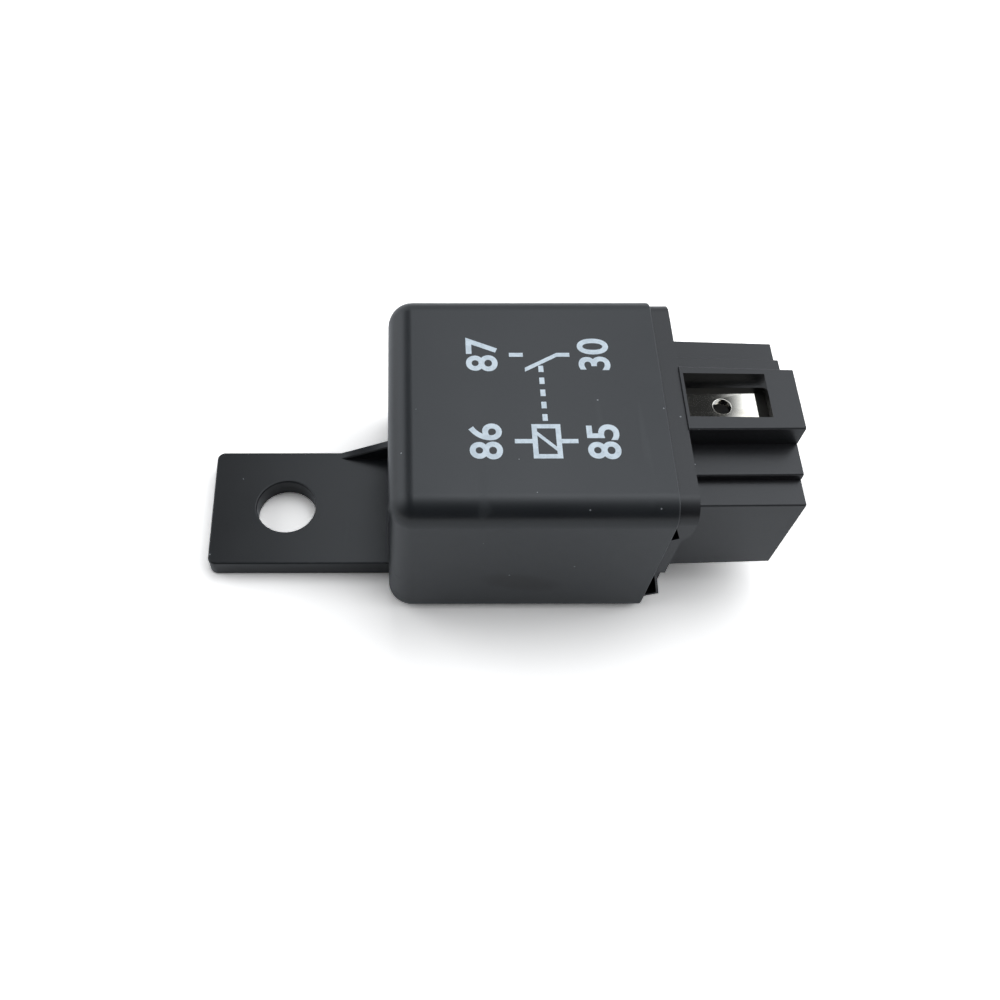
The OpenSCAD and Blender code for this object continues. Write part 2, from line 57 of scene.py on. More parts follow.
# the turn is in degrees, and the shift is in shares of the frame
camera = {"place": (12.573, -58.771, 97.128), "turn": (27.807, -0.2125, -0.226), "nearest": 1.0,
          "lens": 35.497, "sensor": 36, "shift": (0.09704, 0.07506)}


def placeCamera():
    data = bpy.data.cameras.new("camera")
    data.sensor_width = camera["sensor"]
    data.lens = camera["lens"]
    data.shift_x, data.shift_y = camera["shift"]
    data.clip_start = camera["nearest"] * mm
    holder = bpy.data.objects.new("camera", data)
    holder.location = [v * mm for v in camera["place"]]
    holder.rotation_euler = [math.radians(v) for v in camera["turn"]]
    bpy.context.scene.collection.objects.link(holder)
    bpy.context.scene.camera = holder


placeCamera()
print("camera placed")


# A shader socket that takes part in plain arithmetic.
class Wire:
    def __init__(self, finish, socket):
        self.finish = finish
        self.socket = socket

    def maths(self, operation, *values):
        return self.finish.node("ShaderNodeMath", {"operation": operation}, dict(enumerate(values)))

    def output(self, name):
        return Wire(self.finish, self.socket.node.outputs[name])

    def __add__(self, other):
        return self.maths("ADD", self, other)

    def __sub__(self, other):
        return self.maths("SUBTRACT", self, other)

    def __rsub__(self, other):
        return self.maths("SUBTRACT", other, self)

    def __mul__(self, other):
        return self.maths("MULTIPLY", self, other)

    def __gt__(self, other):
        return self.maths("GREATER_THAN", self, other)

    def __lt__(self, other):
        return self.maths("LESS_THAN", self, other)

    def sine(self):
        return self.maths("SINE", self)

    def absolute(self):
        return self.maths("ABSOLUTE", self)

    def exponent(self):
        return self.maths("EXPONENT", self)


# A material or a world, and the ways that its nodes are made.
class Finish:
    def __init__(self, owner):
        self.owner = owner
        owner.use_nodes = True
        self.tree = owner.node_tree
        self.tree.nodes.clear()

    # Values go into the node's inputs by name or number, and its first enabled output comes back.
    def node(self, kind, settings=None, values=None):
        made = self.tree.nodes.new(kind)
        for name, value in (settings or {}).items():
            setattr(made, name, value)
        for key, value in (values or {}).items():
            if isinstance(value, Wire):
                self.tree.links.new(value.socket, made.inputs[key])
            else:
                made.inputs[key].default_value = value
        enabled = [socket for socket in made.outputs if socket.enabled]
        return Wire(self, enabled[0]) if enabled else None

    def place(self, stretch=(1, 1, 1)):
        where = self.node("ShaderNodeTexCoord").output("Object")
        return self.node("ShaderNodeMapping", {}, {"Vector": where, "Scale": stretch})

    def axes(self, direction=None):
        split = self.node("ShaderNodeSeparateXYZ", {}, {0: direction or self.place()})
        return split.output("X"), split.output("Y"), split.output("Z")

    def noise(self, scale, detail=2.0, stretch=(1, 1, 1)):
        return self.node("ShaderNodeTexNoise", {},
                         {"Vector": self.place(stretch), "Scale": scale, "Detail": detail})

    # Rises smoothly from 0 at low to 1 at high.
    def step(self, value, low, high):
        return self.node("ShaderNodeMapRange", {"interpolation_type": "SMOOTHSTEP"},
                         {"Value": value, "From Min": low, "From Max": high})

    # Rises from 0 to 1 and comes down again.
    def band(self, value, rise, full, fall, gone):
        return self.step(value, rise, full) * (1 - self.step(value, fall, gone))

    # Inputs 6 and 7 are the two colours.
    def mix(self, amount, first, second):
        return self.node("ShaderNodeMix", {"data_type": "RGBA"},
                         {0: amount, 6: opaque(first), 7: opaque(second)})

    def bump(self, height, depth):
        return self.node("ShaderNodeBump", {}, {"Height": height, "Distance": depth * mm, "Strength": 1.0})

    def grain(self, scale, depth):
        return self.bump(self.noise(scale), depth)

    # A roughness that wanders a little above its least.
    def uneven(self, scale, least, spread):
        return self.noise(scale) * spread + least

    def shade(self, values):
        surface = self.node("ShaderNodeBsdfPrincipled", {}, values)
        self.node("ShaderNodeOutputMaterial", {}, {"Surface": surface})
        return self.owner


def opaque(tone):
    return tone if isinstance(tone, Wire) else (*tone, 1)


def newFinish(name):
    return Finish(bpy.data.materials.new(name))


# how near counts as the same place, and how many degrees count as flat
near = {"merge": 0.0005, "touch": 0.0001, "cut": 0.00001, "flat": 0.5}


def vertsOf(parts):
    return [part for part in parts if isinstance(part, bmesh.types.BMVert)]


def edgesOf(parts):
    return [part for part in parts if isinstance(part, bmesh.types.BMEdge)]


def mergeVerts(bm):
    bmesh.ops.remove_doubles(bm, verts=bm.verts, dist=near["merge"] * mm)


def joinFlatFaces(bm):
    bmesh.ops.dissolve_limit(bm, angle_limit=math.radians(near["flat"]), verts=bm.verts, edges=bm.edges)


def nodeCopy(name):
    bm = bmesh.new()
    bm.from_mesh(nodes[name].data)
    mergeVerts(bm)
    joinFlatFaces(bm)
    return bm


# Cuts every face along a plane, and gives back the edges of the cut.
def cutAcross(bm, place, facing, clearBeyond=False):
    cut = bmesh.ops.bisect_plane(bm, geom=bm.verts[:] + bm.edges[:] + bm.faces[:], dist=near["cut"] * mm,
                                 plane_co=place, plane_no=facing, clear_outer=clearBeyond)
    return edgesOf(cut["geom_cut"])


def closeHoles(bm):
    bmesh.ops.holes_fill(bm, edges=[edge for edge in bm.edges if edge.is_boundary])


def sharpEdges(bm, sharper):
    least = math.radians(sharper)
    return [edge for edge in bm.edges if edge.is_manifold and edge.calc_face_angle(0) > least]


def roundEdges(bm, edges, radius, segments=2):
    bmesh.ops.bevel(bm, geom=edges, offset=radius * mm, offset_type="OFFSET", affect="EDGES",
                    segments=segments, profile=0.5, clamp_overlap=True, material=-1)


def meshObject(name, bm, finish):
    mesh = bpy.data.meshes.new(name)
    bm.to_mesh(mesh)
    bm.free()
    mesh.materials.append(finish)
    made = bpy.data.objects.new(name, mesh)
    bpy.context.scene.collection.objects.link(made)
    return made


# Faces shade smoothly up to the given angle, and broad faces stay flat.
def smoothPiece(name, bm, finish, angle=40):
    piece = meshObject(name, bm, finish)
    for face in piece.data.polygons:
        face.use_smooth = True
    piece.data.set_sharp_from_angle(angle=math.radians(angle))
    weighted = piece.modifiers.new("even shading", "WEIGHTED_NORMAL")
    weighted.keep_sharp = True
    return piece


# The piece stands for the node, whose own mesh is hidden, and rides on the body, if one is given.
def settle(piece, node, body="housing"):
    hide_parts(node)
    if body:
        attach(piece, body)


# a glow's numbers are degrees round from +X, degrees up, tightness and strength
studio = {
    "tint": (0.95, 1.0, 1.06),
    "sideGlows": ((28, 30, 4, 1.27), (152, 30, 4, 1.7), (3, 30, 8, 1.4)),
    "overheadGlows": ((60, 66, 11, 1.45), (120, 66, 11, 1.2)),
    # the rest are ranges of a direction's parts (across is X, deep is Y, up is Z) and shares from 0 to 1
    "shadeDeep": (-0.1, 0.35), "shadeUp": (0.45, 0.75), "shadeDepth": 0.12,
    "gapAcross": (-0.6, -0.45, -0.11, -0.04), "gapUp": (0.5, 0.65),
    "flagAcross": (0.2, 0.25, 0.326, 0.331), "flagDeep": (0.46, 0.5, 0.64, 0.7), "flagDepth": 0.99,
    "flagEdge": (0.2, 0.25, 0.312, 0.328), "flagEdgePart": 0.4,
    "backdropUp": (0.02, 0.12),
}


# Brightest in one direction, and fading evenly all round it.
def glow(room, direction, turn, height, tightness, power):
    turn, height = math.radians(turn), math.radians(height)
    towards = (math.cos(height) * math.cos(turn), math.cos(height) * math.sin(turn), math.sin(height))
    facing = room.node("ShaderNodeVectorMath", {"operation": "DOT_PRODUCT"}, {0: direction, 1: towards})
    return ((facing.output("Value") - 1) * tightness).exponent() * power


# Glows at both sides and overhead, a slight shade overhead toward the camera, a gap over the tab
# and one small dark flag, which the blade under the latch window mirrors.
def roomStrength(room, direction):
    across, deep, up = room.axes(direction)
    strength = 0
    for numbers in studio["sideGlows"] + studio["overheadGlows"]:
        strength = glow(room, direction, *numbers) + strength
    shade = (1 - room.step(deep, *studio["shadeDeep"])) * room.step(up, *studio["shadeUp"])
    gap = room.band(across, *studio["gapAcross"]) * room.step(up, *studio["gapUp"])
    flagBody = room.band(across, *studio["flagAcross"]) * (1 - studio["flagEdgePart"])
    flagEdge = room.band(across, *studio["flagEdge"]) * studio["flagEdgePart"]
    flag = (flagEdge + flagBody) * room.band(deep, *studio["flagDeep"])
    return strength * (1 - shade * studio["shadeDepth"]) * (1 - gap) * (1 - flag * studio["flagDepth"])


# Seen directly, and near the floor in reflections, the room is white.
def lightRoom():
    world = bpy.data.worlds.new("studio")
    bpy.context.scene.world = world
    room = Finish(world)
    direction = room.node("ShaderNodeTexCoord").output("Generated")
    lit = room.node("ShaderNodeBackground", {},
                    {"Color": opaque(studio["tint"]), "Strength": roomStrength(room, direction)})
    white = room.node("ShaderNodeBackground", {}, {"Color": (1, 1, 1, 1), "Strength": 1.0})
    path = room.node("ShaderNodeLightPath")
    low = 1 - room.step(room.axes(direction)[2], *studio["backdropUp"])
    mirrored = (path.output("Is Glossy Ray") + path.output("Is Transmission Ray")) * low
    direct = path.output("Is Camera Ray") + mirrored
    both = room.node("ShaderNodeMixShader", {}, {0: direct, 1: lit, 2: white})
    room.node("ShaderNodeOutputWorld", {}, {"Surface": both})


# gain is what the camera sees on top of plain card, and paper is how pale the card is for other light
card = {"side": 3000.0, "tint": (1.0, 0.957, 0.91), "gain": 0.78, "paper": 0.8}


# The floor is white where the camera sees it, and keeps the relay's shadow.
def layFloor():
    paper = newFinish("white card")
    path = paper.node("ShaderNodeLightPath")

    def matt(level, tint=(1, 1, 1)):
        return paper.node("ShaderNodeBsdfDiffuse", {}, {"Color": opaque([level * part for part in tint])})

    bright = paper.node("ShaderNodeAddShader", {},
                        {0: matt(1, card["tint"]), 1: matt(card["gain"], card["tint"])})
    mirrored = path.output("Is Glossy Ray") + path.output("Is Transmission Ray")
    bounced = paper.node("ShaderNodeMixShader", {}, {0: mirrored, 1: matt(card["paper"]), 2: matt(1)})
    both = paper.node("ShaderNodeMixShader", {}, {0: path.output("Is Camera Ray"), 1: bounced, 2: bright})
    paper.node("ShaderNodeOutputMaterial", {}, {"Surface": both})
    bm = bmesh.new()
    bmesh.ops.create_grid(bm, x_segments=1, y_segments=1, size=card["side"] / 2 * mm)
    meshObject("floor", bm, paper.owner)


lightRoom()
layFloor()
print("room lit and floor laid")


# Patterns are given by their noise scale, and by the range over which they set in.
# A grain is its noise scale and its depth in millimetres.
plastics = {
    "cover": {"dark": (0.011, 0.0125, 0.0145), "light": (0.0155, 0.0175, 0.0195), "roughness": 0.33},
    "base": {"dark": (0.0085, 0.0085, 0.0098), "light": (0.0125, 0.0126, 0.014), "roughness": 0.35},
    "flow": 160.0, "flowRough": 0.1, "grain": (5200.0, 0.004),
    # dust: a few of the cells hold one small pale fleck
    "cells": 620.0, "fleckSize": 0.055, "fleckRare": 0.8, "fleck": (0.30, 0.31, 0.32), "fleckPart": 0.75,
    "fleckRough": 0.3,
    # rub marks: long thin traces in patches
    "traces": 260.0, "traceStretch": (1, 0.06, 1), "trace": (0.63, 0.68),
    "patches": 90.0, "patch": (0.5, 0.62), "rubPart": 0.03, "rubRough": 0.08,
}

# a darker patch low on the cover's side, and painted shade that darkens the tab towards its outer end
coverDarkening = {"darkPatch": (25.3, 6.3), "darkPatchSize": (5.2, 2.0), "darkPatchLean": 0.2, "darkPatchSide": -11.3,
             "darkPatchRagged": 0.5, "darkPatchFade": (0.1, 1.0), "darkPatchTone": (0.0, 0.0, 0.0005),
             "tab": (-8.0, 9.0), "tabShadePart": 0.65, "tabShadeTone": (0.002, 0.002, 0.0025)}


def darkenCover(plastic, tone, flow):
    x, y, z = plastic.axes()
    # a darker patch low on the cover's near side, with a ragged edge
    along = x * (1 / mm) - coverDarkening["darkPatch"][0]
    above = z * (1 / mm) - coverDarkening["darkPatch"][1] + along * coverDarkening["darkPatchLean"]
    along = along * (1 / coverDarkening["darkPatchSize"][0])
    above = above * (1 / coverDarkening["darkPatchSize"][1])
    ragged = coverDarkening["darkPatchRagged"]
    away = along * along + above * above + flow * ragged - ragged / 2
    darkPatch = (1 - plastic.step(away, *coverDarkening["darkPatchFade"])) * (y < coverDarkening["darkPatchSide"] * mm)
    tone = plastic.mix(darkPatch, tone, coverDarkening["darkPatchTone"])
    # painted shade: the tab's colour darkens towards its outer end
    outer = 1 - plastic.step(x, coverDarkening["tab"][0] * mm, coverDarkening["tab"][1] * mm)
    return plastic.mix(outer * coverDarkening["tabShadePart"], tone, coverDarkening["tabShadeTone"])


def mouldedPlastic(name, look, darkening=None):
    plastic = newFinish(name)
    flow = plastic.noise(plastics["flow"], detail=4.0)
    tone = plastic.mix(flow, look["dark"], look["light"])
    if darkening:
        tone = darkening(plastic, tone, flow)
    cells = plastic.node("ShaderNodeTexVoronoi", {"feature": "F1"},
                         {"Vector": plastic.place(), "Scale": plastics["cells"]})
    chance = plastic.node("ShaderNodeSeparateColor", {}, {0: cells.output("Color")}).output("Red")
    fleck = (cells.output("Distance") < plastics["fleckSize"]) * (chance > plastics["fleckRare"])
    traces = plastic.noise(plastics["traces"], stretch=plastics["traceStretch"])
    patches = plastic.noise(plastics["patches"], detail=1.0)
    rubbed = plastic.step(traces, *plastics["trace"]) * plastic.step(patches, *plastics["patch"])
    tone = plastic.mix(fleck * plastics["fleckPart"] + rubbed * plastics["rubPart"], tone, plastics["fleck"])
    rough = flow * plastics["flowRough"] + (look["roughness"] - plastics["flowRough"] / 2)
    rough = rough + rubbed * plastics["rubRough"] + fleck * plastics["fleckRough"]
    return plastic.shade({"Base Color": tone, "Roughness": rough, "IOR": 1.5,
                          "Normal": plastic.grain(*plastics["grain"])})


coverPlastic = mouldedPlastic("cover plastic", plastics["cover"], darkenCover)
basePlastic = mouldedPlastic("base plastic", plastics["base"])
print("plastics mixed")


# printSink is how far the front lies under the node's, which leaves room for the ink
cover = {"length": 27.3, "wall": 1.3, "printSink": 0.012, "round": 2.5, "roundSegments": 10,
         "backRound": 1.6, "backSegments": 8, "rimEdge": 0.18,
         # the tab starts just outside the can and runs on into its wall
         "tabEdge": 0.22, "tabCut": 0.01, "tabRun": 1.0, "tabBuried": 0.9}
coverLow, coverHigh = (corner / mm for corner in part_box("cover"))
canEnd = coverHigh.x - cover["length"]
canMiddle = (coverLow.y + coverHigh.y) / 2


# A closed can, open at the rim, with a wide radius in front and at the closed end's uprights.
def makeCan(bm):
    height = coverHigh.z - cover["printSink"]
    centre = Vector((canEnd + cover["length"] / 2, canMiddle, height / 2)) * mm
    size = Vector((cover["length"], coverHigh.y - coverLow.y, height)) * mm
    bmesh.ops.create_cube(bm, size=1, matrix=Matrix.Translation(centre) @ Matrix.Diagonal((*size, 1)))

    def onRim(part):
        return all(vert.co.x > (coverHigh.x - near["touch"]) * mm for vert in part.verts)

    def onBack(part):
        return all(vert.co.z < near["touch"] * mm for vert in part.verts)

    bmesh.ops.delete(bm, geom=[face for face in bm.faces if onRim(face)], context="FACES_ONLY")
    wide = [edge for edge in bm.edges if not onRim(edge) and not onBack(edge)]
    roundEdges(bm, wide, cover["round"], cover["roundSegments"])
    narrow = [edge for edge in bm.edges if not onRim(edge) and onBack(edge)]
    roundEdges(bm, narrow, cover["backRound"], cover["backSegments"])
    bmesh.ops.recalc_face_normals(bm, faces=bm.faces)
    bmesh.ops.solidify(bm, geom=bm.faces, thickness=cover["wall"] * mm)
    rim = [edge for edge in sharpEdges(bm, sharper=40) if onRim(edge)]
    roundEdges(bm, rim, cover["rimEdge"], segments=3)


# The tab, with its hole and gusset, is the node's own. Its buried end keeps its sharp edges.
def addTab(bm):
    tab = nodeCopy("cover")
    cut = (canEnd - cover["tabCut"]) * mm
    run = cover["tabRun"] * mm
    rim = cutAcross(tab, (cut, 0, 0), (1, 0, 0), clearBeyond=True)
    grown = bmesh.ops.extrude_edge_only(tab, edges=rim)["geom"]
    bmesh.ops.translate(tab, vec=(run, 0, 0), verts=vertsOf(grown))
    closeHoles(tab)
    joinFlatFaces(tab)

    def isBuried(edge):
        return all(vert.co.x > cut + cover["tabBuried"] * run for vert in edge.verts)

    outside = [edge for edge in sharpEdges(tab, sharper=60) if not isBuried(edge)]
    roundEdges(tab, outside, cover["tabEdge"], segments=3)
    mesh = bpy.data.meshes.new("tab")
    tab.to_mesh(mesh)
    tab.free()
    bm.from_mesh(mesh)
    bpy.data.meshes.remove(mesh)


def makeCover():
    bm = bmesh.new()
    makeCan(bm)
    addTab(bm)
    settle(smoothPiece("coverShell", bm, coverPlastic), "cover")


makeCover()
print("cover made")


# A wiring symbol on the cover's front. Its rows count from the closed end, and its two columns
# stand either side of the can's middle: the coil's on the left and the contact's on the right.
symbol = {"line": 0.5, "halfThick": 0.008, "under": 0.002, "column": 5.3, "leadRows": (12.2, 18.3),
          "numbers": (("86", -1, 0), ("87", 1, 0), ("85", -1, 1), ("30", 1, 1)), "numberRows": (9.6, 20.9),
          "numberSize": 4.3, "numberWeight": 0.085,
          "coilRows": (14.15, 16.45), "coilHalf": 2.0, "slashHalf": 0.9,
          "contactRows": (13.6, 17.0), "armReach": 1.9, "armRow": 13.7,
          "dashes": 5, "dashStart": -2.9, "dashStep": 1.5, "dash": 0.8,
          "ink": (0.68, 0.76, 0.81), "inkWorn": (0.50, 0.57, 0.62),
          "inkRough": (0.4, 0.12), "inkDepth": 0.002,
          "worn": 1500.0, "wornRange": (0.42, 0.66), "wornPart": 0.5,
          "specks": 5200.0, "speckRange": (0.62, 0.7), "speckPart": 0.5}


# A point on the page, sunk by the given depth.
def pagePoint(across, down, sunk):
    return Vector((canEnd + down, canMiddle + across, coverHigh.z - symbol["under"] - sunk)) * mm


def inkPatch(bm, *corners):
    face = bm.faces.new([bm.verts.new(pagePoint(*corner, 0)) for corner in corners])
    grown = bmesh.ops.extrude_face_region(bm, geom=[face])["geom"]
    bmesh.ops.translate(bm, vec=(0, 0, -2 * symbol["halfThick"] * mm), verts=vertsOf(grown))


# A straight line of the symbol, across the page or down it. A slanting one keeps level ends.
def stroke(bm, start, end):
    half = symbol["line"] / 2
    (a, b), (c, d) = start, end
    if b == d:
        inkPatch(bm, (a, b - half), (c, b - half), (c, b + half), (a, b + half))
    else:
        inkPatch(bm, (a - half, b), (a + half, b), (c + half, d), (c - half, d))


def writeNumber(bm, text, across, down):
    words = bpy.data.curves.new("number", "FONT")
    words.body = text
    words.size = symbol["numberSize"] * mm
    words.offset = symbol["numberWeight"] * mm
    words.extrude = symbol["halfThick"] * mm
    words.align_x = words.align_y = "CENTER"
    words.resolution_u = 6
    holder = bpy.data.objects.new("number", words)
    bpy.context.scene.collection.objects.link(holder)
    bpy.context.view_layer.update()
    flat = bpy.data.meshes.new_from_object(holder)
    place = Matrix.Translation(pagePoint(across, down, symbol["halfThick"]))
    flat.transform(place @ Matrix.Rotation(math.radians(90), 4, "Z"))
    bm.from_mesh(flat)
    bpy.data.objects.remove(holder)


# A box with a slash between its two leads.
def drawCoil(bm, middle):
    half = symbol["line"] / 2
    (top, bottom), (first, last) = symbol["coilRows"], symbol["leadRows"]
    side, slash = symbol["coilHalf"] - half, symbol["slashHalf"]
    stroke(bm, (middle, first), (middle, top - half))
    stroke(bm, (middle, bottom + half), (middle, last))
    for row in (top, bottom):
        stroke(bm, (middle - symbol["coilHalf"], row), (middle + symbol["coilHalf"], row))
    for column in (middle - side, middle + side):
        stroke(bm, (column, top + half), (column, bottom - half))
    stroke(bm, (middle - slash, bottom - half), (middle + slash, top + half))


# Two leads, and the open arm between them.
def drawContact(bm, middle):
    (top, bottom), (first, last) = symbol["contactRows"], symbol["leadRows"]
    stroke(bm, (middle, first), (middle, top))
    stroke(bm, (middle, bottom), (middle, last))
    stroke(bm, (middle, bottom), (middle - symbol["armReach"], symbol["armRow"]))


def drawLink(bm):
    row = sum(symbol["coilRows"]) / 2
    for count in range(symbol["dashes"]):
        start = symbol["dashStart"] + count * symbol["dashStep"]
        stroke(bm, (start, row), (start + symbol["dash"], row))


def printInk():
    ink = newFinish("pad print")
    worn = ink.step(ink.noise(symbol["worn"], detail=3.0), *symbol["wornRange"])
    speck = ink.step(ink.noise(symbol["specks"], detail=1.0), *symbol["speckRange"])
    tone = ink.mix(worn * symbol["wornPart"] + speck * symbol["speckPart"], symbol["ink"], symbol["inkWorn"])
    rough = worn * symbol["inkRough"][1] + symbol["inkRough"][0]
    return ink.shade({"Base Color": tone, "Roughness": rough, "Normal": ink.bump(worn, symbol["inkDepth"])})


def makePrint():
    bm = bmesh.new()
    for text, side, row in symbol["numbers"]:
        writeNumber(bm, text, side * symbol["column"], symbol["numberRows"][row])
    mergeVerts(bm)
    drawCoil(bm, -symbol["column"])
    drawContact(bm, symbol["column"])
    drawLink(bm)
    bmesh.ops.recalc_face_normals(bm, faces=bm.faces)
    piece = meshObject("wiringSymbol", bm, printInk())
    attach(piece, "housing")


makePrint()
print("print made")


# shroudEdges are the shroud's long outer edges, as across from the can's middle and up
base = {"edge": 0.13, "shroudEdge": 0.3, "shroudLength": 3.0, "shroudNear": 0.4,
        "shroudEdges": ((10.15, 15.7), (-10.15, 15.7), (7.2, 16.6), (-7.2, 16.6),
                        (3.75, 19.2), (-3.55, 19.2), (10.15, 4.3), (-10.15, 4.3)),
        # the latch window's end wall: its foot's place along and up, how far it leans, and its half width
        "windowFoot": (49.3, 18.4), "windowNear": 0.02, "windowLean": 0.6, "windowHalf": 4.0}


# The window's wall toward the mouth leans away under the land, so that the blade shows nearly up to it.
def leanWindowWall(bm):
    along, up = base["windowFoot"]
    for vert in bm.verts:
        at = vert.co / mm
        atFoot = abs(at.x - along) < base["windowNear"] and abs(at.z - up) < base["windowNear"]
        if atFoot and abs(at.y - canMiddle) < base["windowHalf"]:
            vert.co.x += base["windowLean"] * mm


# The long outer edges of the shroud are rounder than the rest.
def onShroudEdge(edge):
    first, second = (vert.co / mm for vert in edge.verts)
    if abs(first.x - second.x) < base["shroudLength"]:
        return False
    middle = (first + second) / 2
    return any(abs(middle.y - canMiddle - y) < base["shroudNear"] and abs(middle.z - z) < base["shroudNear"]
               for y, z in base["shroudEdges"])


def makeBase():
    bm = nodeCopy("base")
    leanWindowWall(bm)
    shroud = [edge for edge in sharpEdges(bm, sharper=60) if onShroudEdge(edge)]
    roundEdges(bm, shroud, base["shroudEdge"], segments=4)
    roundEdges(bm, sharpEdges(bm, sharper=40), base["edge"])
    settle(smoothPiece("baseMoulding", bm, basePlastic), "base")


makeBase()
print("base made")


# pull is how the drawn lines run: a small number stretches them along that axis
metals = {
    "tinned brass": {"tone": (0.80, 0.77, 0.70), "worn": (0.62, 0.56, 0.44), "roughness": 0.06,
                     "pull": (0.08, 1, 1)},
    "plated iron": {"tone": (0.60, 0.61, 0.62), "worn": (0.45, 0.45, 0.46), "roughness": 0.3,
                    "pull": (0.1, 1, 1)},
    "spring bronze": {"tone": (0.72, 0.48, 0.27), "worn": (0.55, 0.34, 0.18), "roughness": 0.26,
                      "pull": (0.1, 0.1, 1)},
    "contact silver": {"tone": (0.86, 0.85, 0.82), "worn": (0.62, 0.60, 0.57), "roughness": 0.24,
                       "pull": (1, 1, 1)},
    "rivet brass": {"tone": (0.74, 0.70, 0.60), "worn": (0.56, 0.50, 0.40), "roughness": 0.3,
                    "pull": (1, 1, 1)},
    "stop steel": {"tone": (0.63, 0.65, 0.67), "worn": (0.48, 0.49, 0.50), "roughness": 0.28,
                   "pull": (0.1, 1, 1)},
    "solder": {"tone": (0.70, 0.71, 0.72), "worn": (0.50, 0.51, 0.52), "roughness": 0.2,
               "pull": (1, 1, 1)},
}
metalMarks = {"lines": 2600.0, "linePart": 0.15, "lineRough": 0.35, "lineDepth": 0.0012,
              "stains": 420.0, "stainRange": (0.45, 0.75), "stainPart": 0.6, "stainRough": 0.4,
              "cleanRough": 0.75}


def metal(name):
    look = metals[name]
    made = newFinish(name)
    lines = made.noise(metalMarks["lines"], 3.0, look["pull"])
    stain = made.step(made.noise(metalMarks["stains"], detail=4.0), *metalMarks["stainRange"])
    worn = stain * metalMarks["stainPart"] + lines * metalMarks["linePart"]
    rough = lines * metalMarks["lineRough"] + stain * metalMarks["stainRough"] + metalMarks["cleanRough"]
    return made.shade({"Base Color": made.mix(worn, look["tone"], look["worn"]), "Metallic": 1.0,
                       "Roughness": rough * look["roughness"],
                       "Normal": made.bump(lines, metalMarks["lineDepth"])})


brass = metal("tinned brass")
iron = metal("plated iron")
bronze = metal("spring bronze")
silver = metal("contact silver")
rivetBrass = metal("rivet brass")
steel = metal("stop steel")
solder = metal("solder")
print("metals mixed")


# each blade's piece, the axis of its thickness, and the middle of its thickness along that axis
blades = {"edge": 0.07, "taper": 1.1, "tipThin": 0.16,
          "pieces": {"terminal_87": ("blade87", 2, 17.3), "terminal_30": ("blade30", 2, 7.3),
                     "terminal_85": ("blade85", 1, 8.9), "terminal_86": ("blade86", 1, -5.1)}}


# A blade's last stretch is coined thinner, so that it leads into its socket.
def makeBlade(node, name, thinAxis, middle):
    bm = nodeCopy(node)
    taper = blades["taper"] * mm
    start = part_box(node)[1].x - taper
    cutAcross(bm, (start, 0, 0), (1, 0, 0))
    for vert in bm.verts:
        if vert.co.x > start + near["touch"] * mm:
            off = vert.co[thinAxis] - middle * mm
            vert.co[thinAxis] -= math.copysign(blades["tipThin"] * mm, off) * (vert.co.x - start) / taper
    roundEdges(bm, sharpEdges(bm, sharper=50), blades["edge"])
    settle(smoothPiece(name, bm, brass), node)


for node, shape in blades["pieces"].items():
    makeBlade(node, *shape)
print("blades made")


# an uneven roughness is its noise scale, its least and its spread
coil = {"wirePitch": 0.22, "wireDepth": 0.06, "wireRough": (900.0, 0.22, 0.15),
        "copper": (0.78, 0.33, 0.13), "copperDeep": (0.45, 0.15, 0.05),
        "shift": 900.0, "shiftRange": (0.4, 0.7), "endRough": 0.28, "endGrain": (2500.0, 0.002),
        "tape": (0.62, 0.36, 0.05), "tapeLap": (0.42, 0.22, 0.03), "tapeFlow": 300.0,
        "tapeWidth": 3.1, "tapeBend": 120.0, "tapeWander": 0.5, "lapEdge": 0.1, "lapDepth": 0.03,
        "tapeRough": (700.0, 0.2, 0.15)}
nylonLook = {"pale": (0.70, 0.66, 0.56), "warm": (0.62, 0.57, 0.45), "flow": 240.0, "rough": (0.38, 0.12),
             "grain": (4200.0, 0.003)}


def copperTone(wire):
    shift = wire.step(wire.noise(coil["shift"], detail=3.0), *coil["shiftRange"])
    return wire.mix(shift, coil["copper"], coil["copperDeep"])


# Turn beside turn along the coil's axis, with painted shade in the grooves between turns.
def woundCopper():
    wire = newFinish("wound copper")
    along = wire.axes()[0]
    turnsAndGrooveShade = (along * (math.pi / (coil["wirePitch"] * mm))).sine().absolute()
    # painted shade: the deep copper fills the grooves between turns
    return wire.shade({"Base Color": wire.mix(turnsAndGrooveShade, coil["copperDeep"], copperTone(wire)), "Metallic": 1.0,
                       "Roughness": wire.uneven(*coil["wireRough"]),
                       "Normal": wire.bump(turnsAndGrooveShade, coil["wireDepth"])})


def copperWire():
    wire = newFinish("copper wire")
    return wire.shade({"Base Color": copperTone(wire), "Metallic": 1.0, "Roughness": coil["endRough"],
                       "Normal": wire.grain(*coil["endGrain"])})


def wrapTape():
    tape = newFinish("coil tape")
    along = tape.axes()[0] * (math.pi / (coil["tapeWidth"] * mm))
    wander = tape.noise(coil["tapeBend"], detail=1.0) * coil["tapeWander"]
    lap = tape.step((along + wander).sine().absolute(), 0.0, coil["lapEdge"])
    tone = tape.mix(tape.noise(coil["tapeFlow"], detail=3.0), coil["tape"], coil["tapeLap"])
    return tape.shade({"Base Color": tape.mix(lap, coil["tapeLap"], tone),
                       "Roughness": tape.uneven(*coil["tapeRough"]),
                       "Normal": tape.bump(lap, coil["lapDepth"])})


def bobbinNylon():
    nylon = newFinish("bobbin nylon")
    flow = nylon.noise(nylonLook["flow"], detail=4.0)
    return nylon.shade({"Base Color": nylon.mix(flow, nylonLook["pale"], nylonLook["warm"]),
                        "Roughness": flow * nylonLook["rough"][1] + nylonLook["rough"][0],
                        "Normal": nylon.grain(*nylonLook["grain"])})


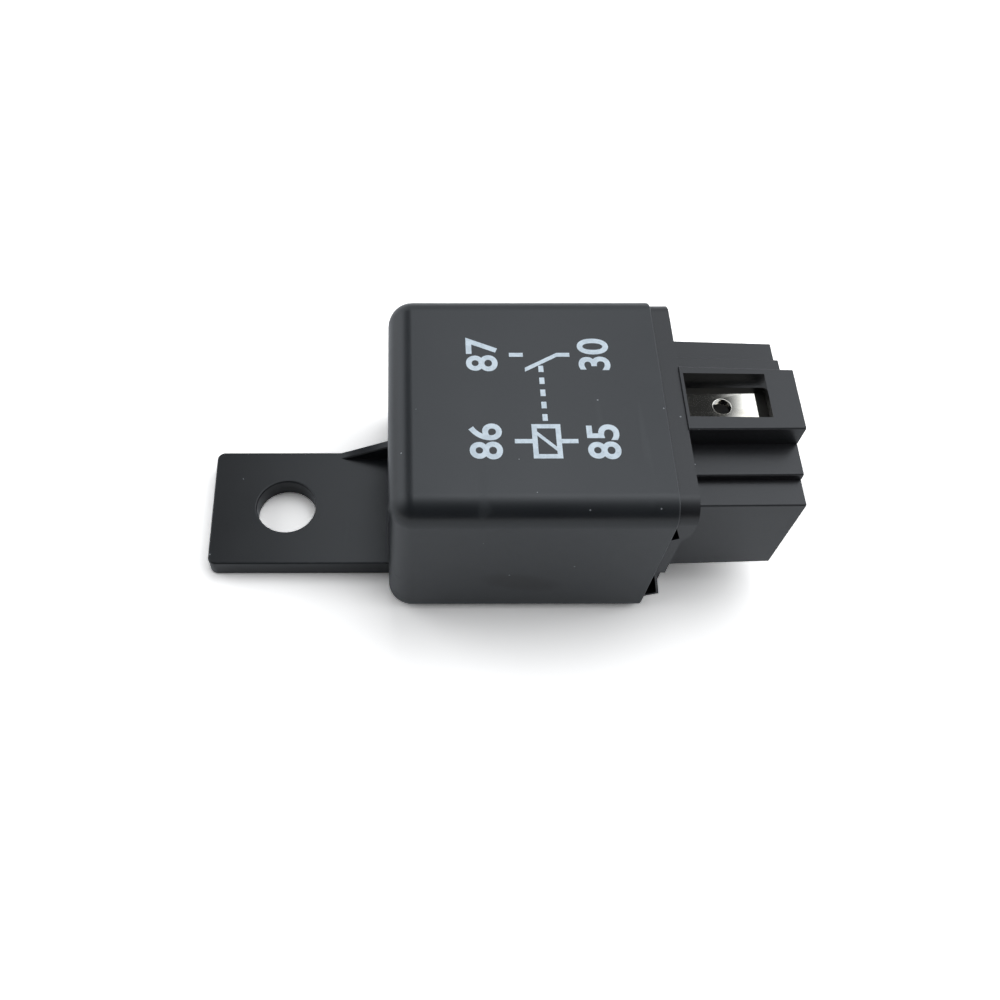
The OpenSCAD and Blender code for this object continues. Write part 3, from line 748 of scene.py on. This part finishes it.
# Small rigid parts are copies of their nodes with eased edges: piece, finish, slot, body, edge.
smallParts = {
    "bobbin": ("bobbinBody", bobbinNylon(), "bobbin_plastic", "housing", 0.12),
    "core": ("coreIron", iron, "iron", "housing", 0.12),
    "yoke": ("yokeIron", iron, "iron", "housing", 0.12),
    "armature": ("armaturePlate", iron, "iron", "armature", 0.12),
    "moving_contact": ("movingContact", silver, "contact_silver", "armature", 0.12),
    "fixed_contact": ("fixedContact", silver, "contact_silver", "housing", 0.12),
    "back_stop": ("backStop", steel, "stop_steel", "housing", 0.08),
    "yoke_rivets": ("yokeRivets", rivetBrass, "rivet", "housing", 0.14),
    "armature_rivets": ("armatureRivets", rivetBrass, "rivet", "armature", 0.14),
}


def makeSmallParts():
    for node, (name, finish, slot, body, edge) in smallParts.items():
        bm = nodeCopy(node)
        roundEdges(bm, sharpEdges(bm, sharper=50), edge)
        settle(smoothPiece(name, bm, finish), node, body)


makeSmallParts()
print("bobbin, iron, contacts and rivets made")


# The body's places are shares of its half length, and the rings' are shares of its whole length.
resistor = {"lacquer": (0.20, 0.42, 0.58), "lacquerShade": 0.85, "flow": 600.0,
            "rough": (800.0, 0.22, 0.12), "grain": (700.0, 0.01), "sides": 40, "edge": 0.35,
            "shoulders": (-0.62, -0.42, 0.42, 0.62), "waistEnd": 0.5, "waist": 0.84,
            "rings": ((0.14, 0.22, (0.02, 0.07, 0.35)), (0.32, 0.40, (0.16, 0.17, 0.18)),
                      (0.50, 0.58, (0.12, 0.045, 0.015)), (0.76, 0.84, (0.55, 0.36, 0.06)))}


def lacquer(low, high):
    skin = newFinish("resistor lacquer")
    along = (skin.axes()[1] - low.y) * (1 / (high.y - low.y))
    darker = tuple(part * resistor["lacquerShade"] for part in resistor["lacquer"])
    tone = skin.mix(skin.noise(resistor["flow"], detail=3.0), resistor["lacquer"], darker)
    for start, end, paint in resistor["rings"]:
        tone = skin.mix((along > start) * (along < end), tone, paint)
    return skin.shade({"Base Color": tone, "Roughness": skin.uneven(*resistor["rough"]),
                       "Normal": skin.grain(*resistor["grain"])})


# The body swells at both ends over the lead caps.
def makeResistor():
    low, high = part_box("resistor")
    middle = (low + high) / 2
    radius, half = (high.z - low.z) / 2, (high.y - low.y) / 2
    bm = bmesh.new()
    place = Matrix.Translation(middle) @ Matrix.Rotation(math.pi / 2, 4, "X")
    bmesh.ops.create_cone(bm, cap_ends=True, segments=resistor["sides"], radius1=radius, radius2=radius,
                          depth=2 * half, matrix=place)
    for share in resistor["shoulders"]:
        cutAcross(bm, middle + Vector((0, share * half, 0)), (0, 1, 0))
    inner = [vert for vert in bm.verts if abs(vert.co.y - middle.y) < resistor["waistEnd"] * half]
    bmesh.ops.scale(bm, vec=(resistor["waist"], 1, resistor["waist"]), space=Matrix.Translation(-middle),
                    verts=inner)
    roundEdges(bm, sharpEdges(bm, sharper=50), resistor["edge"], segments=5)
    piece = smoothPiece("resistorBody", bm, lacquer(low, high), angle=60)
    settle(piece, "resistor")


makeResistor()
print("resistor made")


# The leaf's bend, between the yoke and the armature, is cut into short strips.
leaf = {"bendStart": (18.9, -8.9), "strip": 0.28, "cuts": 11, "edge": 0.05,
        "blendStart": (18.9, -8.7, 9.8), "blendEnd": (16.9, -7.0, 9.8)}


def makeLeaf():
    bm = nodeCopy("contact_spring")
    x, y = leaf["bendStart"]
    for count in range(1, leaf["cuts"] + 1):
        along = count * leaf["strip"]
        cutAcross(bm, Vector((x - along, y + along, 0)) * mm, (-1, 1, 0))
    roundEdges(bm, sharpEdges(bm, sharper=60), leaf["edge"], segments=1)
    piece = smoothPiece("leafSpring", bm, bronze, angle=60)
    settle(piece, "contact_spring", None)
    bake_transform(piece)


# The bend is in diameters, the twist in radians for each radius of length.
# blendFrom is a share of the flat run, and blendTo a distance under the top.
rope = {"strands": 7, "lobe": 0.1, "twist": 0.66, "rings": 110, "sides": 28, "bend": 1.75,
        "blendFrom": 0.7, "blendTo": 1.0, "copper": (0.80, 0.38, 0.19), "copperDeep": (0.42, 0.15, 0.07),
        "shift": 3200.0, "shiftRange": (0.4, 0.7), "rough": (0.3, 0.15), "depth": 0.02}


def strandedCopper():
    lead = newFinish("stranded copper")
    shift = lead.noise(rope["shift"], detail=3.0)
    tone = lead.mix(lead.step(shift, *rope["shiftRange"]), rope["copper"], rope["copperDeep"])
    return lead.shade({"Base Color": tone, "Metallic": 1.0,
                       "Roughness": shift * rope["rough"][1] + rope["rough"][0],
                       "Normal": lead.bump(shift, rope["depth"])})


# Sweeps a lobed, twisted ring along the path, and closes both ends.
def sweepRope(bm, radius, total, pathPoint):
    ring = bmesh.ops.create_circle(bm, cap_ends=False, segments=rope["sides"], radius=radius)["verts"]
    shape = [vert.co.copy() for vert in ring]
    edges = bm.edges[:]
    bmesh.ops.contextual_create(bm, geom=edges)
    for count in range(rope["rings"] + 1):
        gone = total * count / rope["rings"]
        centre, turn = pathPoint(gone)
        facing = Matrix.Rotation(turn, 4, "Y") @ Matrix.Rotation(-math.pi / 2, 4, "Y")
        if count:
            grown = bmesh.ops.extrude_edge_only(bm, edges=edges)["geom"]
            edges, ring = edgesOf(grown), vertsOf(grown)
        for vert, corner in zip(ring, shape):
            around = math.atan2(corner.y, corner.x) + gone / radius * rope["twist"]
            lobe = 1 - rope["lobe"] + rope["lobe"] * abs(math.cos(rope["strands"] * around / 2))
            vert.co = centre + facing @ (corner * lobe)
    closeHoles(bm)
    bmesh.ops.recalc_face_normals(bm, faces=bm.faces)


# The lead runs flat from the core's neck, turns up through a quarter circle and rises to the leaf.
def makeRope():
    low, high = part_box("braid")
    radius = (high.y - low.y) / 2
    y = (low.y + high.y) / 2
    bend = rope["bend"] * 2 * radius
    bottom, riseX = low.z + radius, low.x + radius
    flat = high.x - (riseX + bend)
    arc = bend * math.pi / 2
    rise = high.z - (bottom + bend)

    def pathPoint(gone):
        if gone < flat:
            return Vector((high.x - gone, y, bottom)), 0.0
        if gone < flat + arc:
            turn = (gone - flat) / bend
            out, up = bend * (1 - math.sin(turn)), bend * (1 - math.cos(turn))
            return Vector((riseX + out, y, bottom + up)), turn
        return Vector((riseX, y, bottom + bend + gone - flat - arc)), math.pi / 2

    bm = bmesh.new()
    sweepRope(bm, radius, flat + arc + rise, pathPoint)
    piece = smoothPiece("strandedLead", bm, strandedCopper(), angle=70)
    settle(piece, "braid", None)
    Vector((high.x - flat * rope["blendFrom"], y, bottom))
    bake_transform(piece)


makeLeaf()
makeRope()
print("spring and lead made")


# Nodes that keep their shape get their finish.
def finishNodes(finish, *names):
    for name in names:
        nodes[name].data.materials.clear()
        nodes[name].data.materials.append(finish)


finishNodes(woundCopper(), "coil_winding")
finishNodes(wrapTape(), "coil_tape")
finishNodes(copperWire(), "coil_wire_85", "coil_wire_86")
finishNodes(solder, "resistor_leads", "solder_joints")
print("coil, wires and solder finished")


bpy.context.scene.view_settings.view_transform = "Standard"
